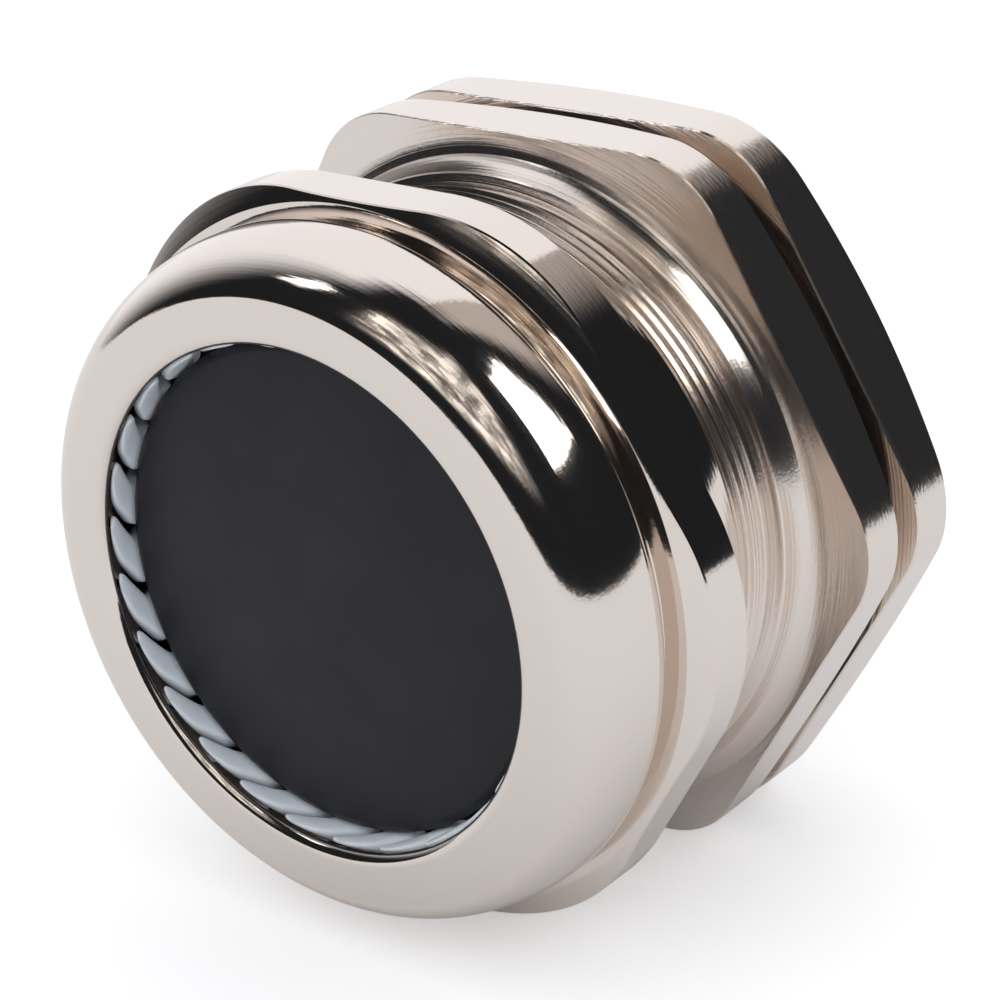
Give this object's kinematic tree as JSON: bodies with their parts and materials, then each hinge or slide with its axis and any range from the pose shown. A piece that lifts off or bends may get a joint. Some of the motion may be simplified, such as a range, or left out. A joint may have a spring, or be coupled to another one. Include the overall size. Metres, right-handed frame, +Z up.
{
  "type": "cable gland",
  "caption": "Nickel-plated cable gland: threaded gland body, domed pressure nut, claw ring and rubber seal that grip the cable, dust disc, O-ring and lock nut.",
  "frame": {"origin": "middle of the gland's length and width, on the surface that its hexagon flats lie on", "axes": "+Y along the gland's axis from the cable mouth towards the end thread, +Z up, +X to the right when looking into the cable mouth"},
  "size_m": [0.0888, 0.062, 0.08],
  "materials": {
    "nickel": "bright nickel plating over turned and milled brass",
    "polyamide": "moulded polyamide, pale grey",
    "slip_plastic": "moulded black plastic",
    "rubber": "moulded black rubber, matt"
  },
  "bodies": {
    "lock_nut": {"lock_nut": "nickel"},
    "o_ring": {"o_ring": "rubber"},
    "gland_body": {"gland_body": "nickel", "claw_ring": "polyamide", "sealing_insert": "rubber"},
    "slip_ring": {"slip_ring": "slip_plastic"},
    "dome_nut": {"dome_nut": "nickel"},
    "dust_disc": {"dust_disc": "rubber"},
    "claw_finger_01": {"claw_finger_01": "polyamide"},
    "claw_finger_02": {"claw_finger_02": "polyamide"},
    "claw_finger_03": {"claw_finger_03": "polyamide"},
    "claw_finger_04": {"claw_finger_04": "polyamide"},
    "claw_finger_05": {"claw_finger_05": "polyamide"},
    "claw_finger_06": {"claw_finger_06": "polyamide"},
    "claw_finger_07": {"claw_finger_07": "polyamide"},
    "claw_finger_08": {"claw_finger_08": "polyamide"},
    "claw_finger_09": {"claw_finger_09": "polyamide"},
    "claw_finger_10": {"claw_finger_10": "polyamide"},
    "claw_finger_11": {"claw_finger_11": "polyamide"},
    "claw_finger_12": {"claw_finger_12": "polyamide"},
    "claw_finger_13": {"claw_finger_13": "polyamide"},
    "claw_finger_14": {"claw_finger_14": "polyamide"},
    "claw_finger_15": {"claw_finger_15": "polyamide"},
    "claw_finger_16": {"claw_finger_16": "polyamide"},
    "claw_finger_17": {"claw_finger_17": "polyamide"},
    "claw_finger_18": {"claw_finger_18": "polyamide"},
    "claw_finger_19": {"claw_finger_19": "polyamide"},
    "claw_finger_20": {"claw_finger_20": "polyamide"},
    "claw_finger_21": {"claw_finger_21": "polyamide"},
    "claw_finger_22": {"claw_finger_22": "polyamide"},
    "claw_finger_23": {"claw_finger_23": "polyamide"},
    "claw_finger_24": {"claw_finger_24": "polyamide"},
    "claw_finger_25": {"claw_finger_25": "polyamide"},
    "claw_finger_26": {"claw_finger_26": "polyamide"}
  },
  "joints": [
    {"name": "body_axial", "type": "slide", "parent": "lock_nut", "child": "o_ring", "axis": [0, 1, 0], "range_m": [-0.0121, 0]},
    {"name": "body_turn", "type": "hinge", "parent": "o_ring", "child": "gland_body", "pos_m": [0, 0, 0.04], "axis": [0, 1, 0], "range_deg": [-2160, 0]},
    {"name": "nut_axial", "type": "slide", "parent": "gland_body", "child": "slip_ring", "axis": [0, 1, 0], "range_m": [0, 0.0046]},
    {"name": "dome_nut_turn", "type": "hinge", "parent": "slip_ring", "child": "dome_nut", "pos_m": [0, 0, 0.04], "axis": [0, 1, 0], "range_deg": [0, 1080], "deforming": ["sealing_insert", "dust_disc"]},
    {"name": "claw_finger_01_bend", "type": "hinge", "parent": "gland_body", "child": "claw_finger_01", "pos_m": [0, -0.0148, 0.0702], "axis": [1, 0, 0], "range_deg": [0, 18.5]},
    {"name": "claw_finger_02_bend", "type": "hinge", "parent": "gland_body", "child": "claw_finger_02", "pos_m": [0.00723, -0.0148, 0.06932], "axis": [0.9709, 0, -0.2393], "range_deg": [0, 18.5]},
    {"name": "claw_finger_03_bend", "type": "hinge", "parent": "gland_body", "child": "claw_finger_03", "pos_m": [0.01404, -0.0148, 0.06674], "axis": [0.8855, 0, -0.4647], "range_deg": [0, 18.5]},
    {"name": "claw_finger_04_bend", "type": "hinge", "parent": "gland_body", "child": "claw_finger_04", "pos_m": [0.02003, -0.0148, 0.0626], "axis": [0.7485, 0, -0.6631], "range_deg": [0, 18.5]},
    {"name": "claw_finger_05_bend", "type": "hinge", "parent": "gland_body", "child": "claw_finger_05", "pos_m": [0.02485, -0.0148, 0.05716], "axis": [0.5681, 0, -0.823], "range_deg": [0, 18.5]},
    {"name": "claw_finger_06_bend", "type": "hinge", "parent": "gland_body", "child": "claw_finger_06", "pos_m": [0.02824, -0.0148, 0.05071], "axis": [0.3546, 0, -0.935], "range_deg": [0, 18.5]},
    {"name": "claw_finger_07_bend", "type": "hinge", "parent": "gland_body", "child": "claw_finger_07", "pos_m": [0.02998, -0.0148, 0.04364], "axis": [0.1205, 0, -0.9927], "range_deg": [0, 18.5]},
    {"name": "claw_finger_08_bend", "type": "hinge", "parent": "gland_body", "child": "claw_finger_08", "pos_m": [0.02998, -0.0148, 0.03636], "axis": [-0.1205, 0, -0.9927], "range_deg": [0, 18.5]},
    {"name": "claw_finger_09_bend", "type": "hinge", "parent": "gland_body", "child": "claw_finger_09", "pos_m": [0.02824, -0.0148, 0.02929], "axis": [-0.3546, 0, -0.935], "range_deg": [0, 18.5]},
    {"name": "claw_finger_10_bend", "type": "hinge", "parent": "gland_body", "child": "claw_finger_10", "pos_m": [0.02485, -0.0148, 0.02284], "axis": [-0.5681, 0, -0.823], "range_deg": [0, 18.5]},
    {"name": "claw_finger_11_bend", "type": "hinge", "parent": "gland_body", "child": "claw_finger_11", "pos_m": [0.02003, -0.0148, 0.0174], "axis": [-0.7485, 0, -0.6631], "range_deg": [0, 18.5]},
    {"name": "claw_finger_12_bend", "type": "hinge", "parent": "gland_body", "child": "claw_finger_12", "pos_m": [0.01404, -0.0148, 0.01326], "axis": [-0.8855, 0, -0.4647], "range_deg": [0, 18.5]},
    {"name": "claw_finger_13_bend", "type": "hinge", "parent": "gland_body", "child": "claw_finger_13", "pos_m": [0.00723, -0.0148, 0.01068], "axis": [-0.9709, 0, -0.2393], "range_deg": [0, 18.5]},
    {"name": "claw_finger_14_bend", "type": "hinge", "parent": "gland_body", "child": "claw_finger_14", "pos_m": [0, -0.0148, 0.0098], "axis": [-1, 0, 0], "range_deg": [0, 18.5]},
    {"name": "claw_finger_15_bend", "type": "hinge", "parent": "gland_body", "child": "claw_finger_15", "pos_m": [-0.00723, -0.0148, 0.01068], "axis": [-0.9709, 0, 0.2393], "range_deg": [0, 18.5]},
    {"name": "claw_finger_16_bend", "type": "hinge", "parent": "gland_body", "child": "claw_finger_16", "pos_m": [-0.01404, -0.0148, 0.01326], "axis": [-0.8855, 0, 0.4647], "range_deg": [0, 18.5]},
    {"name": "claw_finger_17_bend", "type": "hinge", "parent": "gland_body", "child": "claw_finger_17", "pos_m": [-0.02003, -0.0148, 0.0174], "axis": [-0.7485, 0, 0.6631], "range_deg": [0, 18.5]},
    {"name": "claw_finger_18_bend", "type": "hinge", "parent": "gland_body", "child": "claw_finger_18", "pos_m": [-0.02485, -0.0148, 0.02284], "axis": [-0.5681, 0, 0.823], "range_deg": [0, 18.5]},
    {"name": "claw_finger_19_bend", "type": "hinge", "parent": "gland_body", "child": "claw_finger_19", "pos_m": [-0.02824, -0.0148, 0.02929], "axis": [-0.3546, 0, 0.935], "range_deg": [0, 18.5]},
    {"name": "claw_finger_20_bend", "type": "hinge", "parent": "gland_body", "child": "claw_finger_20", "pos_m": [-0.02998, -0.0148, 0.03636], "axis": [-0.1205, 0, 0.9927], "range_deg": [0, 18.5]},
    {"name": "claw_finger_21_bend", "type": "hinge", "parent": "gland_body", "child": "claw_finger_21", "pos_m": [-0.02998, -0.0148, 0.04364], "axis": [0.1205, 0, 0.9927], "range_deg": [0, 18.5]},
    {"name": "claw_finger_22_bend", "type": "hinge", "parent": "gland_body", "child": "claw_finger_22", "pos_m": [-0.02824, -0.0148, 0.05071], "axis": [0.3546, 0, 0.935], "range_deg": [0, 18.5]},
    {"name": "claw_finger_23_bend", "type": "hinge", "parent": "gland_body", "child": "claw_finger_23", "pos_m": [-0.02485, -0.0148, 0.05716], "axis": [0.5681, 0, 0.823], "range_deg": [0, 18.5]},
    {"name": "claw_finger_24_bend", "type": "hinge", "parent": "gland_body", "child": "claw_finger_24", "pos_m": [-0.02003, -0.0148, 0.0626], "axis": [0.7485, 0, 0.6631], "range_deg": [0, 18.5]},
    {"name": "claw_finger_25_bend", "type": "hinge", "parent": "gland_body", "child": "claw_finger_25", "pos_m": [-0.01404, -0.0148, 0.06674], "axis": [0.8855, 0, 0.4647], "range_deg": [0, 18.5]},
    {"name": "claw_finger_26_bend", "type": "hinge", "parent": "gland_body", "child": "claw_finger_26", "pos_m": [-0.00723, -0.0148, 0.06932], "axis": [0.9709, 0, 0.2393], "range_deg": [0, 18.5]},
    {"name": "disc_slide", "type": "slide", "parent": "gland_body", "child": "dust_disc", "axis": [0, -1, 0], "range_m": [0, 0.03]}
  ],
  "couplings": [
    {"joint": "body_axial", "follows": "body_turn", "m_per_rad": 0.00031831},
    {"joint": "nut_axial", "follows": "dome_nut_turn", "m_per_rad": 0.00023873},
    {"joint": "claw_finger_01_bend", "follows": "dome_nut_turn", "ratio": 0.016667},
    {"joint": "claw_finger_02_bend", "follows": "dome_nut_turn", "ratio": 0.016667},
    {"joint": "claw_finger_03_bend", "follows": "dome_nut_turn", "ratio": 0.016667},
    {"joint": "claw_finger_04_bend", "follows": "dome_nut_turn", "ratio": 0.016667},
    {"joint": "claw_finger_05_bend", "follows": "dome_nut_turn", "ratio": 0.016667},
    {"joint": "claw_finger_06_bend", "follows": "dome_nut_turn", "ratio": 0.016667},
    {"joint": "claw_finger_07_bend", "follows": "dome_nut_turn", "ratio": 0.016667},
    {"joint": "claw_finger_08_bend", "follows": "dome_nut_turn", "ratio": 0.016667},
    {"joint": "claw_finger_09_bend", "follows": "dome_nut_turn", "ratio": 0.016667},
    {"joint": "claw_finger_10_bend", "follows": "dome_nut_turn", "ratio": 0.016667},
    {"joint": "claw_finger_11_bend", "follows": "dome_nut_turn", "ratio": 0.016667},
    {"joint": "claw_finger_12_bend", "follows": "dome_nut_turn", "ratio": 0.016667},
    {"joint": "claw_finger_13_bend", "follows": "dome_nut_turn", "ratio": 0.016667},
    {"joint": "claw_finger_14_bend", "follows": "dome_nut_turn", "ratio": 0.016667},
    {"joint": "claw_finger_15_bend", "follows": "dome_nut_turn", "ratio": 0.016667},
    {"joint": "claw_finger_16_bend", "follows": "dome_nut_turn", "ratio": 0.016667},
    {"joint": "claw_finger_17_bend", "follows": "dome_nut_turn", "ratio": 0.016667},
    {"joint": "claw_finger_18_bend", "follows": "dome_nut_turn", "ratio": 0.016667},
    {"joint": "claw_finger_19_bend", "follows": "dome_nut_turn", "ratio": 0.016667},
    {"joint": "claw_finger_20_bend", "follows": "dome_nut_turn", "ratio": 0.016667},
    {"joint": "claw_finger_21_bend", "follows": "dome_nut_turn", "ratio": 0.016667},
    {"joint": "claw_finger_22_bend", "follows": "dome_nut_turn", "ratio": 0.016667},
    {"joint": "claw_finger_23_bend", "follows": "dome_nut_turn", "ratio": 0.016667},
    {"joint": "claw_finger_24_bend", "follows": "dome_nut_turn", "ratio": 0.016667},
    {"joint": "claw_finger_25_bend", "follows": "dome_nut_turn", "ratio": 0.016667},
    {"joint": "claw_finger_26_bend", "follows": "dome_nut_turn", "ratio": 0.016667}
  ]
}
